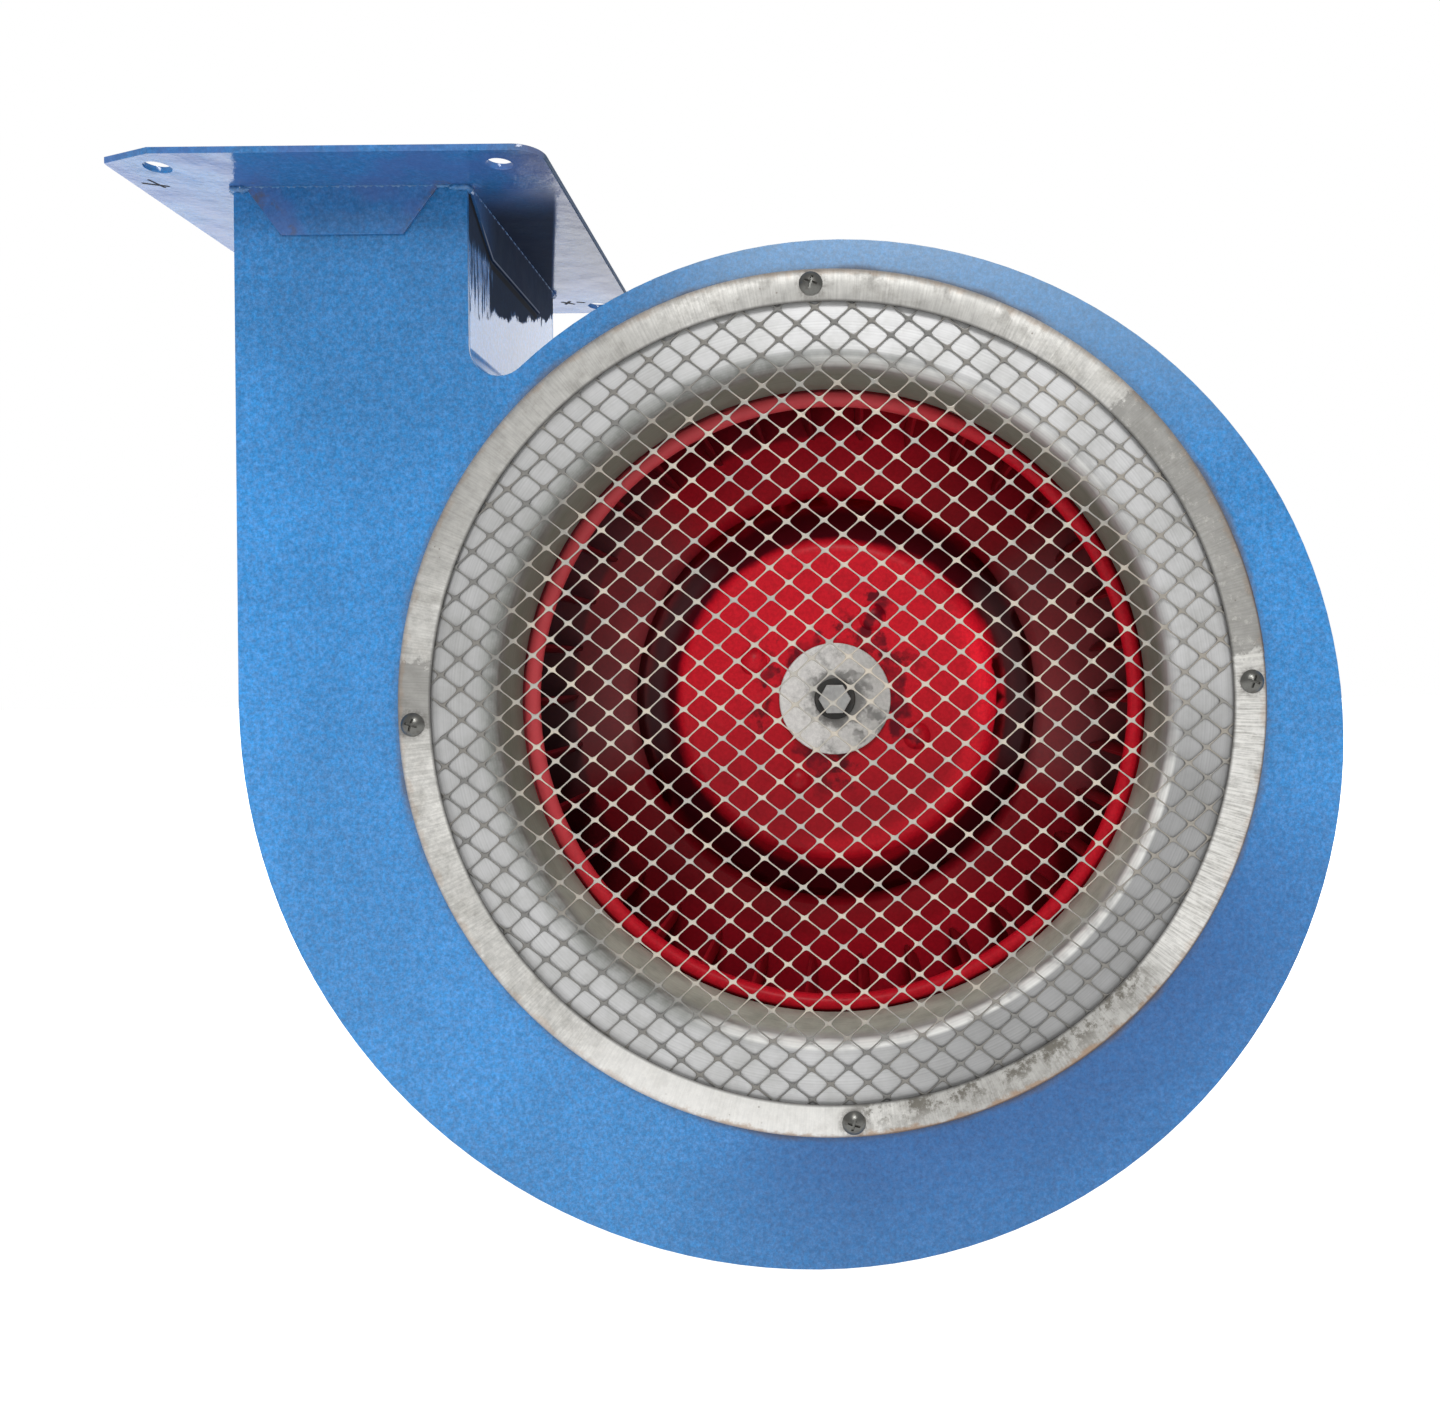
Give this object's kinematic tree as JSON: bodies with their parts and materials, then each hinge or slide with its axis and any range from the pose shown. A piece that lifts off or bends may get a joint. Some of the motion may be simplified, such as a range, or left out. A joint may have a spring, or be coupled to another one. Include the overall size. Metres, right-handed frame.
{
  "type": "centrifugal blower",
  "caption": "Centrifugal blower with a scroll casing, top outlet flange, guarded spun inlet, forward-curved wheel and flange-mounted motor.",
  "frame": {"origin": "centre of the outlet flange's bolt pattern, on the flange's top face", "axes": "+Z out of the outlet duct, +Y along the fan axis from the inlet towards the motor, +X from the duct towards the scroll"},
  "size_m": [0.482, 0.377, 0.44],
  "materials": {
    "blue_paint": "glossy blue enamel over sheet steel, slightly mottled",
    "red_paint": "red enamel, satin",
    "spun_sheet": "spun zinc-coated sheet with fine turning marks",
    "ring_sheet": "aged galvanised strip with stains",
    "mesh_steel": "expanded metal, lightly tarnished",
    "screw_steel": "dark zinc-plated steel",
    "bright_steel": "plain bright steel",
    "motor_paint": "grey-blue motor enamel, satin",
    "lamination": "stacked electrical sheet",
    "cast_aluminium": "as cast",
    "winding": "varnished copper wire",
    "brass": "plain brass",
    "black_plastic": "moulded, matt",
    "black_rubber": "moulded rubber"
  },
  "bodies": {
    "casing": {"front_plate": "blue_paint", "back_plate": "blue_paint", "scroll_wrap": "blue_paint", "outlet_flange": "blue_paint", "inlet_cone": "spun_sheet", "guard_mesh": "mesh_steel", "guard_ring": "ring_sheet", "guard_screws": "screw_steel", "guard_nuts": "bright_steel", "front_bearing_outer": "bright_steel", "rear_bearing_outer": "bright_steel", "bearing_wave_washer": "bright_steel", "shaft_seal": "black_rubber", "stator_core": "lamination", "stator_windings": "winding", "motor_front_shield": "motor_paint", "motor_rear_shield": "motor_paint", "motor_housing": "motor_paint", "tie_bolts": "screw_steel", "fan_cowl": "motor_paint", "cowl_screws": "bright_steel", "motor_bolts": "bright_steel", "motor_nuts": "bright_steel", "motor_spring_washers": "screw_steel", "terminal_box": "motor_paint", "terminal_box_gasket": "black_rubber", "terminal_box_lid": "motor_paint", "lid_screws": "bright_steel", "terminal_block": "black_plastic", "terminal_studs": "brass", "cable_gland": "bright_steel", "gland_seal": "black_rubber", "gland_nut": "bright_steel", "gland_locknut": "bright_steel"},
    "rotor": {"impeller_front_ring": "red_paint", "impeller_blades": "red_paint", "impeller_back_disc": "red_paint", "impeller_hub": "screw_steel", "hub_rivets": "red_paint", "hub_washer": "spun_sheet", "hub_flat_washer": "bright_steel", "hub_bolt": "bright_steel", "shaft_key": "bright_steel", "motor_shaft": "bright_steel", "rotor_core": "lamination", "rotor_end_rings": "cast_aluminium", "cooling_fan": "black_plastic", "front_bearing_inner": "bright_steel", "rear_bearing_inner": "bright_steel"},
    "front_bearing_set": {"front_bearing_balls": "bright_steel", "front_bearing_cage": "brass"},
    "rear_bearing_set": {"rear_bearing_balls": "bright_steel", "rear_bearing_cage": "brass"}
  },
  "joints": [
    {"name": "rotor_spin", "type": "hinge", "parent": "casing", "child": "rotor", "pos_m": [0.192, 0, -0.212], "axis": [0, 1, 0], "continuous": true},
    {"name": "front_balls_orbit", "type": "hinge", "parent": "casing", "child": "front_bearing_set", "pos_m": [0.192, 0.0905, -0.212], "axis": [0, 1, 0], "continuous": true},
    {"name": "rear_balls_orbit", "type": "hinge", "parent": "casing", "child": "rear_bearing_set", "pos_m": [0.192, 0.23, -0.212], "axis": [0, 1, 0], "continuous": true}
  ],
  "couplings": [
    {"joint": "front_balls_orbit", "follows": "rotor_spin", "ratio": 0.3987},
    {"joint": "rear_balls_orbit", "follows": "rotor_spin", "ratio": 0.3836}
  ]
}
